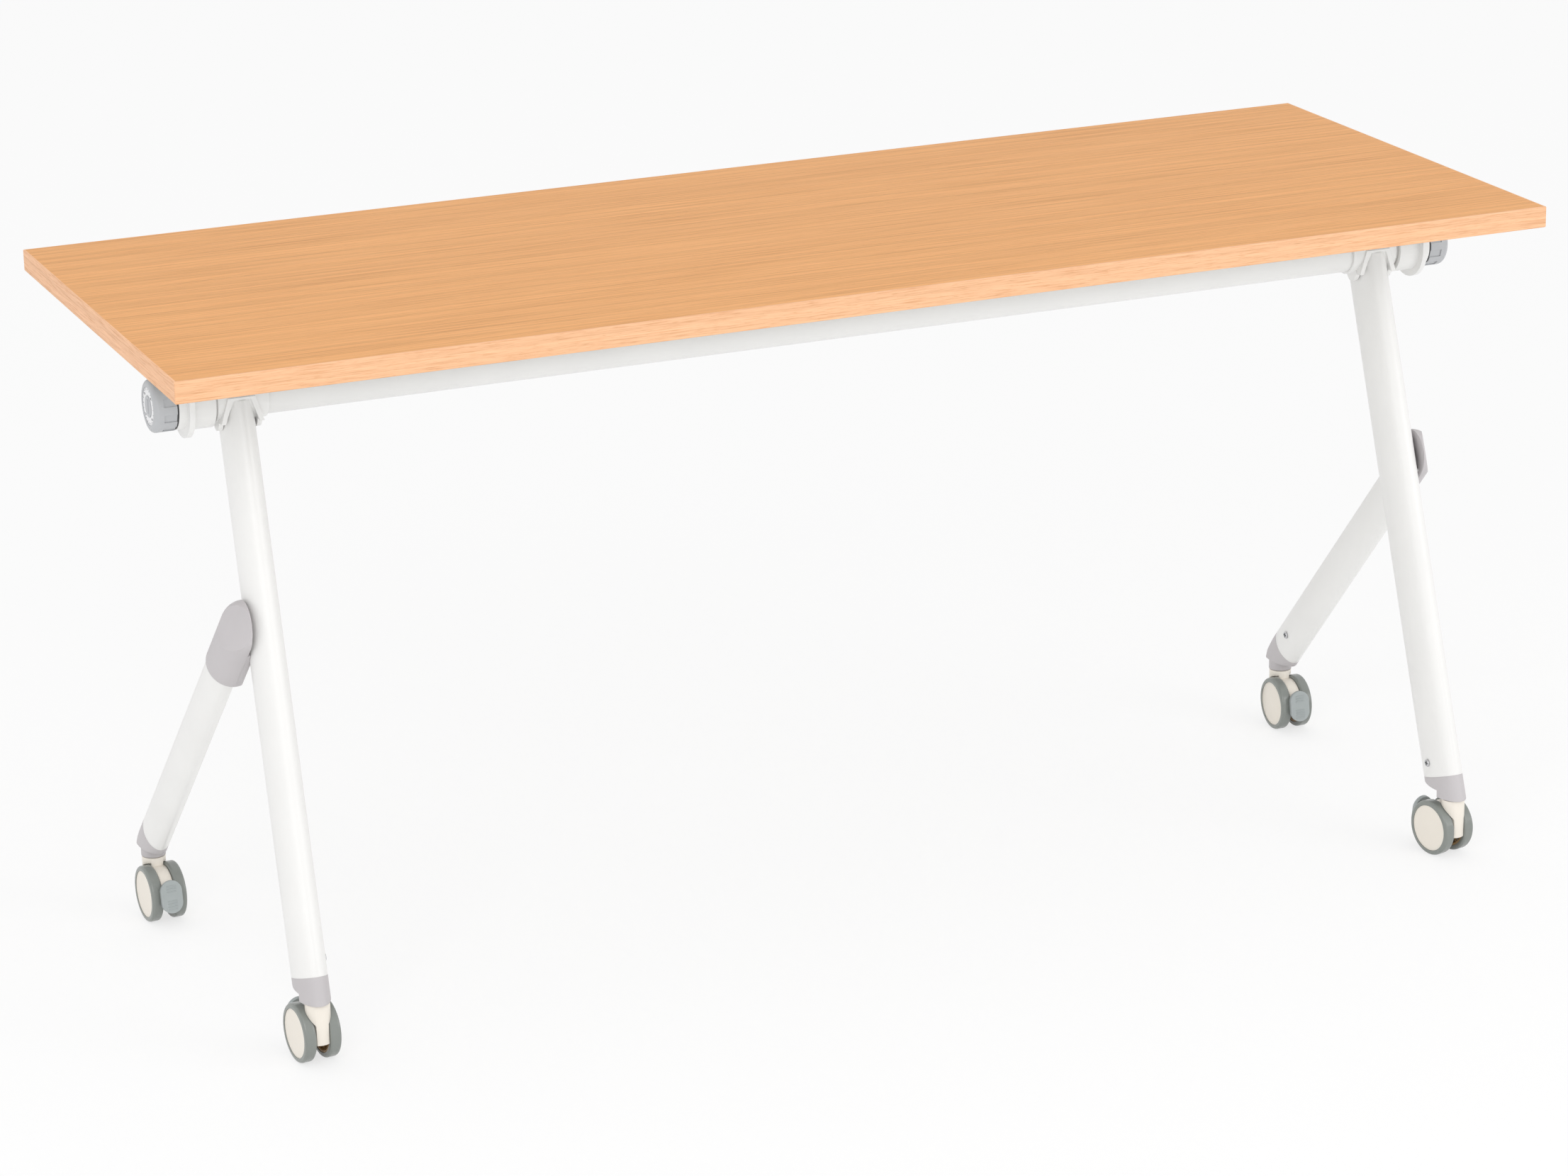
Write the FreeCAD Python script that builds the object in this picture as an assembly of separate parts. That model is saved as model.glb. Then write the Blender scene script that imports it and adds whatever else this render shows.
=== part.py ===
import FreeCAD, Part
import math
import os

from FreeCAD import Vector

# Flip-top folding desk on casters. Millimetres, +Z up, floor at zero, +X along the desk,
# front towards -Y. The origin is on the floor, midway between the ends and midway
# between the foremost wheel and the back edge of the top.

# Tabletop
top_length = 1600.0
top_depth = 600.0
top_thickness = 24.0
top_height = 760.0
edge_band_thickness = 2.0
edge_band_radius = 1.2

# Crossbeam, which is the pivot of the top
beam_diameter = 47.0
beam_wall = 2.0
pivot_setback = 197.0
pivot_drop = 80.0
beam_end_gap = 2.5
plug_length = 22.0

# Stations along the beam's end, from the end of the top inwards
knob_inset = 24.0
knob_length = 24.0
seal_thickness = 2.0
collar_length = 8.5
flange_thickness = 6.0
hinge_sleeve_length = 25.0
sleeve_gap = 3.0
leg_head_length = 56.0
leg_offset = 2.5
leg_setback = 4.0

# Hinge bracket under the top
hinge_sleeve_diameter = 60.0
bush_wall = 2.5
flange_radius = 38.0
collar_diameter = 56.0
collar_bore = 40.0
foot_plate_depth = 110.0
foot_plate_reach = 45.0
foot_plate_thickness = 4.0
screw_edge_margin = 11.0
bracket_screw_diameter = 5.0
bracket_screw_length = 16.0
bracket_screw_head_diameter = 9.0
bracket_screw_head_height = 3.0

# Turning knob, its spindle and the clamp disc
knob_diameter = 57.0
knob_edge_radius = 5.0
knob_flutes = 10
knob_flute_width = 9.0
knob_flute_depth = 1.4
knob_flute_length = 14.0
seal_diameter = 55.0
label_diameter = 41.0
label_bore = 23.0
label_thickness = 1.6
label_recess = 0.6
button_bar_width = 3.0
button_bar_length = 15.0
spindle_diameter = 12.0
spindle_reach = 16.0
spindle_grip = 14.0
clamp_disc_diameter = 39.4
clamp_disc_thickness = 5.0

# Leg head that holds the main leg to the beam
head_wall = 2.5
cheek_thickness = 5.0
cheek_tip_radius = 11.0
cheek_tip_distance = 24.0
head_bar_height = 3.0
head_bar_width = 30.0
head_bar_depth = 14.0

# Main leg: an oval tube from the beam forwards to the front foot
main_leg_width = 36.0
main_leg_depth = 64.0
leg_wall = 1.5
main_leg_run = 194.0
main_leg_splay = 8.0
main_leg_end_height = 92.0
main_leg_top_rise = 2.0

# Rear leg: an oval tube from the outer side of the main leg back to the rear foot
rear_leg_width = 30.0
rear_leg_depth = 50.0
rear_leg_top_height = 448.0
rear_leg_offset = 28.0
rear_leg_run = 325.0
rear_leg_splay = 16.0
rear_leg_end_height = 107.0

# Hub cover over the joint of the two legs
cover_gap = 0.3
cover_wall = 3.5
cover_skirt_length = 80.0
cover_dome_length = 31.0
cover_axis_shift = 7.0
cover_bevel_reach = 33.5
cover_bevel_angle = 31.0
cover_split_offset = 6.5
cover_inner_end_offset = 14.0
cover_inner_start = 14.0

# Feet
caster_height = 72.0
front_foot_base_height = 80.0
rear_foot_base_height = 83.0
rear_foot_shoulder_height = 93.0
front_boss_diameter = 38.0
rear_boss_diameter = 28.0
front_boss_lead = 23.0
rear_boss_lag = 20.5
foot_spigot_length = 40.0
foot_spigot_gap = 0.15
foot_screw_diameter = 5.0
foot_screw_head_diameter = 9.0
foot_screw_head_height = 2.0
foot_screw_length = 13.0
front_screw_rise = 17.0
rear_screw_rise = 33.0

# Twin-wheel casters
wheel_diameter = 65.0
tyre_width = 13.0
tyre_edge_radius = 3.0
wheel_track = 28.4
caster_trail = 18.0
core_diameter = 54.0
core_plate_thickness = 3.0
core_rim_wall = 2.5
core_inset = 0.8
hub_diameter = 15.0
core_ribs = 12
core_rib_thickness = 1.6
core_rib_height = 5.0
axle_diameter = 8.0
housing_width = 14.0
hood_radius = 29.0
neck_diameter = 27.0
neck_bottom_height = 26.0
wheel_side_gap = 1.0
axle_boss_diameter = 18.0
stem_diameter = 11.0
stem_insertion = 24.0
stem_seat = 16.0
swivel_gap = 1.0
front_left_turn = 5.5
front_right_turn = 10.0
rear_left_turn = 183.5
rear_right_turn = 177.7

# Brake pedals of the rear casters
pedal_width = 25.0
pedal_height = 38.0
pedal_thickness = 4.5
pedal_rise_angle = 9.0
pedal_wheel_gap = 2.5
pedal_arm_width = 9.0
pedal_arm_height = 9.0
pedal_pivot_reach = 20.0
pedal_pivot_height = 35.0
trunnion_diameter = 4.0
lug_size = 11.0
lug_slot_gap = 0.5
pedal_ridge_width = 11.0
pedal_ridge_thickness = 1.0
pedal_ridge_height = 0.6
pedal_ridge_pitch = 3.2
pedal_ridge_group_offset = 9.5

# Clearances and cuts
running_fit = 0.05
running_gap = 0.3
cut_overrun = 1.0

# Derived places
x_knob_face = top_length / 2 - knob_inset
x_knob_back = x_knob_face - knob_length
x_collar_end = x_knob_back - seal_thickness
x_flange_out = x_collar_end - collar_length
x_flange_in = x_flange_out - flange_thickness
x_sleeve_in = x_flange_in - hinge_sleeve_length
x_head_out = x_sleeve_in - sleeve_gap
x_head_in = x_head_out - leg_head_length
x_leg = (x_head_out + x_head_in) / 2 + leg_offset
x_beam_end = x_flange_in - beam_end_gap

leg_drop = top_height - pivot_drop - main_leg_end_height
leg_lean = math.atan2(main_leg_run, leg_drop)
pivot_z = top_height - pivot_drop
toe_drop = pivot_z - caster_height
toe_reach = toe_drop * math.tan(leg_lean) + main_leg_depth / 2 / math.cos(leg_lean) - leg_setback
back_reach = top_depth - pivot_setback
swivel_reach = main_leg_run - leg_setback + front_boss_lead


def wheel_reach(turn):
    """How far a front caster, turned by an angle, reaches in front of the pivot."""
    angle = math.radians(abs(turn))
    wheel_front = (wheel_diameter / 2 - tyre_edge_radius) * math.cos(angle) + tyre_edge_radius
    wheel_side = (wheel_track / 2 + tyre_width / 2 - tyre_edge_radius) * math.sin(angle)
    return swivel_reach - caster_trail * math.cos(angle) + wheel_front + wheel_side


front_reach = max(toe_reach, wheel_reach(front_left_turn), wheel_reach(front_right_turn))
pivot_y = (front_reach - back_reach) / 2
top_front_y = pivot_y - pivot_setback
top_back_y = pivot_y + back_reach
top_underside = top_height - top_thickness

beam_radius = beam_diameter / 2
head_radius = beam_radius + head_wall
sleeve_bore_radius = beam_radius + running_fit + bush_wall
wheel_radius = wheel_diameter / 2
x_axis = Vector(1, 0, 0)
y_axis = Vector(0, 1, 0)
z_axis = Vector(0, 0, 1)
mirror_origin = Vector(0, 0, 0)


def cylinder(radius, start, end):
    """Solid cylinder between two points."""
    return Part.makeCylinder(radius, (end - start).Length, start, end - start)


def tube(outer_radius, inner_radius, start, end):
    """Round tube between two points."""
    return cylinder(outer_radius, start, end).cut(cylinder(inner_radius, start, end))


def box(low, high):
    """Box between two opposite corners."""
    size = high - low
    return Part.makeBox(size.x, size.y, size.z, low)


def on_pivot(x):
    """Point of the pivot axis at the given station."""
    return Vector(x, pivot_y, pivot_z)


def mirrored(shape):
    """The same piece on the other end of the desk."""
    return shape.mirror(mirror_origin, x_axis)


def axis_frame(start, end):
    """Placement at start whose Z runs to end and whose X stays nearest the desk's X."""
    along = (end - start).normalize()
    across = (x_axis - along * along.x).normalize()
    return FreeCAD.Placement(start, FreeCAD.Rotation(across, along.cross(across), along, "ZXY"))


def oval_bar(frame, width, depth, start, end):
    """Oval bar along a frame's Z axis, between two distances along it."""
    center = Vector(0, 0, start)
    oval = Part.Ellipse(center + y_axis * (depth / 2), center + x_axis * (width / 2), center)
    bar = Part.Face(Part.Wire(oval.toShape())).extrude(z_axis * (end - start))
    bar.Placement = frame
    return bar


def above(height):
    """Large box from the given height upwards."""
    side = top_length + top_depth
    return box(Vector(-side, -side, height), Vector(side, side, height + side))


# Axes of the legs on the +X end
leg_top = on_pivot(x_leg) + y_axis * leg_setback
leg_end = Vector(leg_top.x + main_leg_splay, leg_top.y - main_leg_run, main_leg_end_height)
main_frame = axis_frame(leg_top, leg_end)
main_length = (leg_end - leg_top).Length
joint_share = (pivot_z - rear_leg_top_height) / leg_drop
leg_joint = leg_top + (leg_end - leg_top) * joint_share + x_axis * rear_leg_offset
rear_end = Vector(leg_joint.x + rear_leg_splay, leg_joint.y + rear_leg_run, rear_leg_end_height)
rear_frame = axis_frame(leg_joint, rear_end)
rear_length = (rear_end - leg_joint).Length
front_swivel = Vector(leg_end.x, leg_end.y - front_boss_lead, 0)
rear_swivel = Vector(rear_end.x, rear_end.y + rear_boss_lag, 0)


def rounded_top():
    """Board and bands as one block with its outer edges rounded, which the bands and board are cut from."""
    low = Vector(-top_length / 2, top_front_y, top_underside)
    block = box(low, Vector(top_length / 2, top_back_y, top_height))
    return block.makeFillet(edge_band_radius, block.Edges)


def tabletop_board():
    """Laminated board inside its edge bands."""
    inset = edge_band_thickness
    low = Vector(-top_length / 2 + inset, top_front_y + inset, top_underside)
    high = Vector(top_length / 2 - inset, top_back_y - inset, top_height)
    board = rounded_top().common(box(low, high))
    for side in (-1, 1):
        for place in bracket_screw_places():
            tip = Vector(side * place.x, place.y, top_underside + bracket_screw_grip())
            start = Vector(tip.x, tip.y, top_underside - cut_overrun)
            board = board.cut(cylinder(bracket_screw_diameter / 2, start, tip))
    return board


def long_edge_bands():
    """Bands on the front and back edges, over the whole length."""
    bands = []
    for y in (top_front_y, top_back_y - edge_band_thickness):
        low = Vector(-top_length / 2, y, top_underside)
        high = Vector(top_length / 2, y + edge_band_thickness, top_height)
        bands.append(rounded_top().common(box(low, high)))
    return Part.makeCompound(bands)


def short_edge_bands():
    """Bands on the two ends, between the long bands."""
    bands = []
    for x in (-top_length / 2, top_length / 2 - edge_band_thickness):
        low = Vector(x, top_front_y + edge_band_thickness, top_underside)
        high = Vector(x + edge_band_thickness, top_back_y - edge_band_thickness, top_height)
        bands.append(rounded_top().common(box(low, high)))
    return Part.makeCompound(bands)


def bracket_screw_places():
    """Plan positions of the screws in the foot plate on the +X end."""
    inner = x_flange_in - foot_plate_reach + screw_edge_margin
    outer = x_flange_in - screw_edge_margin
    offset = foot_plate_depth / 2 - screw_edge_margin
    return [Vector(x, pivot_y + y, 0) for x in (inner, outer) for y in (-offset, offset)]


def bracket_screw_grip():
    """Depth that a bracket screw reaches into the board."""
    return bracket_screw_length - foot_plate_thickness


def hinge_bracket():
    """Sleeve, round flange, collar and foot plate that carry one end of the top."""
    sleeve = cylinder(hinge_sleeve_diameter / 2, on_pivot(x_sleeve_in), on_pivot(x_flange_in))
    flange = cylinder(flange_radius, on_pivot(x_flange_in), on_pivot(x_flange_out))
    upright_low = Vector(x_flange_in, pivot_y - flange_radius, pivot_z)
    upright = box(upright_low, Vector(x_flange_out, pivot_y + flange_radius, top_underside))
    collar = cylinder(collar_diameter / 2, on_pivot(x_flange_out), on_pivot(x_collar_end))
    plate_low = Vector(x_flange_in - foot_plate_reach, pivot_y - foot_plate_depth / 2,
                       top_underside - foot_plate_thickness)
    plate = box(plate_low, Vector(x_flange_out, pivot_y + foot_plate_depth / 2, top_underside))
    bracket = sleeve.fuse([flange, upright, collar, plate])
    bush_bore_start = on_pivot(x_sleeve_in - cut_overrun)
    bracket = bracket.cut(cylinder(sleeve_bore_radius, bush_bore_start, on_pivot(x_flange_in)))
    collar_bore_end = on_pivot(x_collar_end + cut_overrun)
    bracket = bracket.cut(cylinder(collar_bore / 2, on_pivot(x_sleeve_in), collar_bore_end))
    for place in bracket_screw_places():
        start = Vector(place.x, place.y, plate_low.z - cut_overrun)
        end = Vector(place.x, place.y, top_underside + cut_overrun)
        bracket = bracket.cut(cylinder(bracket_screw_diameter / 2, start, end))
    return bracket.removeSplitter()


def bracket_screws():
    """Pan-head screws that hold both brackets to the board."""
    screws = []
    for side in (-1, 1):
        for place in bracket_screw_places():
            seat = Vector(side * place.x, place.y, top_underside - foot_plate_thickness)
            head = cylinder(bracket_screw_head_diameter / 2, seat - z_axis * bracket_screw_head_height, seat)
            shank = cylinder(bracket_screw_diameter / 2, seat, seat + z_axis * bracket_screw_length)
            screws.append(head.fuse(shank).removeSplitter())
    return Part.makeCompound(screws)


def hinge_bush():
    """Plain bush between the sleeve and the beam."""
    return tube(sleeve_bore_radius, beam_radius + running_fit, on_pivot(x_sleeve_in), on_pivot(x_flange_in))


def knob_seal():
    """Dark ring between the collar and the knob."""
    return tube(seal_diameter / 2, spindle_diameter / 2 + running_gap,
                on_pivot(x_collar_end), on_pivot(x_knob_back - running_fit))


def knob_grip():
    """Fluted grip with a recess for the label ring and a raised bar on its centre."""
    grip = cylinder(knob_diameter / 2, on_pivot(x_knob_back), on_pivot(x_knob_face))
    rim = [edge for edge in grip.Edges if edge.BoundBox.XMin > x_knob_face - running_fit]
    grip = grip.makeFillet(knob_edge_radius, rim)
    flute_low = on_pivot(x_knob_back - cut_overrun) + Vector(
        0, -knob_flute_width / 2, knob_diameter / 2 - knob_flute_depth)
    flute_size = Vector(cut_overrun + knob_flute_length, knob_flute_width, knob_flute_depth + cut_overrun)
    flute_high = flute_low + flute_size
    for index in range(knob_flutes):
        flute = box(flute_low, flute_high)
        flute.rotate(on_pivot(0), x_axis, 360.0 * index / knob_flutes)
        grip = grip.cut(flute)
    recess_start = on_pivot(x_knob_face - label_recess - label_thickness)
    recess_end = on_pivot(x_knob_face + cut_overrun)
    grip = grip.cut(tube(label_diameter / 2, label_bore / 2, recess_start, recess_end))
    bar_low = on_pivot(x_knob_face - cut_overrun) - Vector(0, button_bar_width / 2, button_bar_length / 2)
    bar_size = Vector(cut_overrun + label_recess, button_bar_width, button_bar_length)
    grip = grip.fuse(box(bar_low, bar_low + bar_size))
    bore_end = on_pivot(x_knob_back + spindle_grip)
    grip = grip.cut(cylinder(spindle_diameter / 2, on_pivot(x_knob_back - cut_overrun), bore_end))
    return grip.removeSplitter()


def knob_label():
    """Label ring let into the knob's face."""
    back = x_knob_face - label_recess - label_thickness
    return tube(label_diameter / 2, label_bore / 2, on_pivot(back), on_pivot(back + label_thickness))


def knob_spindle():
    """Spindle from the knob through the clamp disc into the beam's end plug."""
    start = on_pivot(x_beam_end - spindle_reach)
    return cylinder(spindle_diameter / 2, start, on_pivot(x_knob_back + spindle_grip))


def clamp_disc():
    """Disc that the knob presses against the end of the beam."""
    start = x_beam_end + running_gap
    return tube(clamp_disc_diameter / 2, spindle_diameter / 2 + running_fit,
                on_pivot(start), on_pivot(start + clamp_disc_thickness))


def crossbeam():
    """Round tube through both leg heads and hinge sleeves."""
    return tube(beam_radius, beam_radius - beam_wall, on_pivot(-x_beam_end), on_pivot(x_beam_end))


def beam_plugs():
    """Plugs in the beam's ends, which hold the spindles."""
    plug = tube(beam_radius - beam_wall, spindle_diameter / 2 + running_fit,
                on_pivot(x_beam_end - plug_length), on_pivot(x_beam_end))
    return Part.makeCompound([plug, mirrored(plug)])


def head_web(side, inner_face, front_y):
    """Slanting web before the beam, from an end of the front bar down to the tip of a cheek."""
    bar_z = pivot_z + main_leg_top_rise
    tip_z = pivot_z - math.cos(leg_lean) * cheek_tip_distance
    bar_end = head_bar_width / 2
    corners = (
        (bar_end - cheek_thickness, bar_z),
        (bar_end, bar_z + head_bar_height),
        (inner_face + cheek_thickness, tip_z),
        (inner_face, tip_z),
    )
    outline = [Vector(x_leg + side * x, front_y, z) for x, z in corners]
    face = Part.Face(Part.makePolygon(outline + outline[:1]))
    width = main_leg_width + 2 * running_gap
    leg = oval_bar(main_frame, width, main_leg_depth + 2 * running_gap, -main_leg_depth, main_length)
    return face.extrude(y_axis * (pivot_y - front_y)).cut(leg)


def leg_head():
    """Sleeve on the beam with a rounded cheek and a web on each side of the leg, and two bars across it."""
    head = cylinder(head_radius, on_pivot(x_head_in), on_pivot(x_head_out))
    down_leg = Vector(0, -math.sin(leg_lean), -math.cos(leg_lean))
    inner_face = main_leg_width / 2 + main_leg_splay * cheek_tip_distance / leg_drop + running_gap
    outer_face = inner_face + cheek_thickness
    for low, high in ((-outer_face, -inner_face), (inner_face, outer_face)):
        start = on_pivot(x_leg + low)
        tip = cylinder(cheek_tip_radius, start + down_leg * cheek_tip_distance,
                       start + down_leg * cheek_tip_distance + x_axis * (high - low))
        neck = Part.makeBox(high - low, cheek_tip_radius * 2, cheek_tip_distance)
        neck.translate(Vector(0, -cheek_tip_radius, -cheek_tip_distance))
        neck.rotate(mirror_origin, x_axis, -math.degrees(leg_lean))
        neck.translate(start)
        head = head.fuse([tip, neck])
    bar_size = Vector(head_bar_width, head_bar_depth, head_bar_height)
    front_y = leg_top.y - main_leg_depth / 2
    for y in (front_y, front_y + main_leg_depth - head_bar_depth):
        bar_low = Vector(x_leg - head_bar_width / 2, y, pivot_z + main_leg_top_rise)
        head = head.fuse(box(bar_low, bar_low + bar_size))
    head = head.fuse([head_web(side, inner_face, front_y) for side in (-1, 1)])
    bore = cylinder(beam_radius, on_pivot(x_head_in - cut_overrun), on_pivot(x_head_out + cut_overrun))
    return head.cut(bore).removeSplitter()


def foot_screw_frame(frame, length, rise, width):
    """Point on a leg's inner face where its foot screw sits, with the screw's direction."""
    inward = frame.Rotation.multVec(x_axis)
    point = frame.multVec(Vector(-width / 2, 0, length - rise))
    return point, inward


def foot_screw_shank(frame, length, rise, width):
    """Straight shank of one foot screw."""
    point, inward = foot_screw_frame(frame, length, rise, width)
    return cylinder(foot_screw_diameter / 2, point, point + inward * foot_screw_length)


def foot_screws():
    """Domed screws on the inner side of each leg, through the tube into the foot."""
    screws = []
    for frame, length, rise, width in leg_table():
        point, inward = foot_screw_frame(frame, length, rise, width)
        head = cylinder(foot_screw_head_diameter / 2, point - inward * foot_screw_head_height, point)
        half_height = foot_screw_head_height / 2
        outer = [edge for edge in head.Edges if (edge.CenterOfMass - point).Length > half_height]
        rim = [edge for edge in outer if edge.Closed]
        head = head.makeFillet(foot_screw_head_height / 2, rim)
        screw = head.fuse(foot_screw_shank(frame, length, rise, width)).removeSplitter()
        screws += [screw, mirrored(screw)]
    return Part.makeCompound(screws)


def leg_table():
    """Frame, length, screw rise and width of the main and rear legs on the +X end."""
    main = (main_frame, main_length, front_screw_rise, main_leg_width)
    rear = (rear_frame, rear_length, rear_screw_rise, rear_leg_width)
    return main, rear


def main_leg():
    """Oval tube from the leg head to the front foot, notched round the head's sleeve."""
    start = -main_leg_depth
    outer = oval_bar(main_frame, main_leg_width, main_leg_depth, start, main_length)
    inner_width = main_leg_width - 2 * leg_wall
    inner = oval_bar(main_frame, inner_width, main_leg_depth - 2 * leg_wall, start, main_length)
    leg = outer.cut(inner)
    leg = leg.cut(above(pivot_z + main_leg_top_rise))
    leg = leg.cut(cylinder(head_radius, on_pivot(x_head_in), on_pivot(x_head_out)))
    leg = leg.cut(foot_screw_shank(*leg_table()[0]))
    return leg


def main_leg_core(grow):
    """Full oval bar of the main leg, grown by a gap, for fitting what meets it."""
    width = main_leg_width + 2 * grow
    return oval_bar(main_frame, width, main_leg_depth + 2 * grow, 0, main_length)


def outside_bevel(reach):
    """Room outside and in front of the hub, beyond a plane along the main leg at a reach from its axis."""
    block = Part.makeBox(main_leg_depth, 2 * main_leg_depth, main_length)
    block.translate(Vector(reach, -main_leg_depth, 0))
    turn = FreeCAD.Placement(Vector(), FreeCAD.Rotation(z_axis, cover_bevel_angle))
    block.Placement = main_frame.multiply(turn).multiply(block.Placement)
    return block


def rear_leg():
    """Oval tube from the side of the main leg to the rear foot."""
    outer = oval_bar(rear_frame, rear_leg_width, rear_leg_depth, 0, rear_length)
    inner = oval_bar(rear_frame, rear_leg_width - 2 * leg_wall, rear_leg_depth - 2 * leg_wall, 0, rear_length)
    leg = outer.cut(inner).cut(main_leg_core(0))
    leg = leg.cut(outside_bevel(cover_bevel_reach - cover_wall - cover_gap))
    leg = leg.cut(foot_screw_shank(*leg_table()[1]))
    return leg


def hub_cover_body():
    """Rounded body round the top of the rear leg, hollowed for both legs."""
    width = rear_leg_width + 2 * (cover_wall + cover_axis_shift)
    depth = rear_leg_depth + 2 * cover_wall
    cover_frame = rear_frame.multiply(FreeCAD.Placement(x_axis * -cover_axis_shift, FreeCAD.Rotation()))
    body = oval_bar(cover_frame, width, depth, 0, cover_skirt_length)
    dome = Part.makeSphere(1)
    scale = FreeCAD.Matrix()
    scale.scale(width / 2, depth / 2, cover_dome_length)
    dome = dome.transformGeometry(scale)
    dome.Placement = cover_frame
    body = body.fuse(dome).cut(outside_bevel(cover_bevel_reach))
    rear_core = oval_bar(rear_frame, rear_leg_width + 2 * cover_gap, rear_leg_depth + 2 * cover_gap,
                         0, cover_skirt_length + cut_overrun)
    rear_core = rear_core.cut(outside_bevel(cover_bevel_reach - cover_wall))
    return body.cut(rear_core).cut(main_leg_core(cover_gap))


def cover_slab(start, end):
    """Slab across the rear leg's frame between two offsets from its axis."""
    reach = cover_skirt_length + cover_dome_length + rear_leg_depth
    slab = Part.makeBox(end - start, 2 * reach, 2 * reach)
    slab.translate(Vector(start, -reach, -reach))
    slab.Placement = rear_frame.multiply(slab.Placement)
    return slab


def largest_solid(shape):
    """The biggest of a shape's solids."""
    return max(shape.Solids, key=lambda solid: solid.Volume)


def hub_cover_outer():
    """Outer half of the hub cover."""
    reach = rear_leg_width + 2 * cover_wall
    return largest_solid(hub_cover_body().common(cover_slab(-cover_split_offset, reach)))


def hub_cover_inner():
    """Lower inner piece of the hub cover, under the rear leg."""
    strip = hub_cover_body().common(cover_slab(-cover_inner_end_offset, -cover_split_offset))
    reach = rear_leg_depth + 2 * cover_wall
    under = Part.makeBox(2 * reach, reach, cover_skirt_length)
    under.translate(Vector(-reach, 0, cover_inner_start))
    under.Placement = rear_frame.multiply(under.Placement)
    return largest_solid(strip.common(under))


def round_boss(diameter, base_height, swivel):
    """Boss under a foot's base, round the caster's stem."""
    end = swivel + z_axis * (base_height + cut_overrun)
    return cylinder(diameter / 2, swivel + z_axis * caster_height, end)


def foot(frame, length, width, depth, base_height, boss, swivel):
    """Plug in a leg's end, with a flat base and a boss for the caster's stem."""
    inner_width = width - 2 * (leg_wall + foot_spigot_gap)
    inner_depth = depth - 2 * (leg_wall + foot_spigot_gap)
    spigot = oval_bar(frame, inner_width, inner_depth, length - foot_spigot_length, length)
    toe = oval_bar(frame, width, depth, length, length + depth)
    toe = toe.common(above(base_height))
    plug = spigot.fuse([toe, boss])
    bore_end = swivel + z_axis * (caster_height + stem_insertion + running_gap)
    bore_start = swivel + z_axis * (caster_height - cut_overrun)
    bore = cylinder(stem_diameter / 2 + running_fit, bore_start, bore_end)
    return plug.cut(bore).removeSplitter()


def front_boss():
    """Boss that carries on the main leg's oval and is rounded off behind the caster's stem."""
    nose = oval_bar(main_frame, main_leg_width, main_leg_depth, main_length, main_length + main_leg_depth)
    return nose.common(round_boss(front_boss_diameter, front_foot_base_height, front_swivel))


def front_foot():
    """Foot of the main leg."""
    plug = foot(main_frame, main_length, main_leg_width, main_leg_depth, front_foot_base_height,
                front_boss(), front_swivel)
    return plug.cut(foot_screw_shank(*leg_table()[0]))


def rear_foot():
    """Foot of the rear leg."""
    boss = round_boss(rear_boss_diameter, rear_foot_base_height, rear_swivel)
    plug = foot(rear_frame, rear_length, rear_leg_width, rear_leg_depth, rear_foot_base_height,
                boss, rear_swivel)
    rim = rear_frame.multVec(Vector(0, -rear_leg_depth / 2, rear_length))
    shoulder = Vector(rim.x, rear_swivel.y + rear_boss_diameter / 2, rear_foot_shoulder_height)
    sole = Vector(rim.x, shoulder.y, 0)
    corner = Vector(rim.x, shoulder.y + rear_leg_depth, 0)
    peak = Vector(rim.x, corner.y, rim.z)
    wedge = Part.Face(Part.makePolygon([rim, shoulder, sole, corner, peak, rim]))
    wedge.translate(x_axis * -rear_leg_width)
    plug = plug.cut(wedge.extrude(x_axis * (2 * rear_leg_width)))
    return plug.cut(foot_screw_shank(*leg_table()[1]))


# Caster pieces are made on a swivel axis along Z at the origin, with the wheels trailing to +Y
axle_center = Vector(0, caster_trail, wheel_radius)
pedal_pivot = Vector(0, caster_trail + pedal_pivot_reach, pedal_pivot_height)


def on_axle(x):
    """Point of the axle's axis at the given offset."""
    return axle_center + x_axis * x


def caster_housing():
    """Neck on the stem with a web and hood between the wheels, and lugs for the brake's pedal."""
    half = housing_width / 2
    neck_top = caster_height - swivel_gap
    neck = cylinder(neck_diameter / 2, z_axis * neck_bottom_height, z_axis * neck_top)
    for side in (-1, 1):
        room = cylinder(wheel_radius + wheel_side_gap, on_axle(side * half), on_axle(side * neck_diameter))
        neck = neck.cut(room)
    hood = cylinder(hood_radius, on_axle(-half), on_axle(half)).common(above(wheel_radius))
    boss = cylinder(axle_boss_diameter / 2, on_axle(-half), on_axle(half))
    lug_half = lug_size / 2
    lug_low = pedal_pivot + Vector(-half, -lug_size, -lug_half)
    lug = box(lug_low, pedal_pivot + Vector(half, lug_half, lug_half))
    housing = neck.fuse([hood, boss, lug])
    slot_half = pedal_arm_width / 2 + lug_slot_gap
    slot_low = pedal_pivot + Vector(-slot_half, -lug_half - lug_slot_gap, -lug_size)
    slot_high = pedal_pivot + Vector(slot_half, lug_size, lug_half + lug_slot_gap)
    housing = housing.cut(box(slot_low, slot_high))
    bore = cylinder(trunnion_diameter / 2 + running_fit, pedal_pivot - x_axis * housing_width,
                    pedal_pivot + x_axis * housing_width)
    housing = housing.cut(bore)
    housing = housing.cut(cylinder(axle_diameter / 2, on_axle(-housing_width), on_axle(housing_width)))
    stem_bore = cylinder(stem_diameter / 2, z_axis * (neck_top - stem_seat), z_axis * caster_height)
    return housing.cut(stem_bore).removeSplitter()


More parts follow.
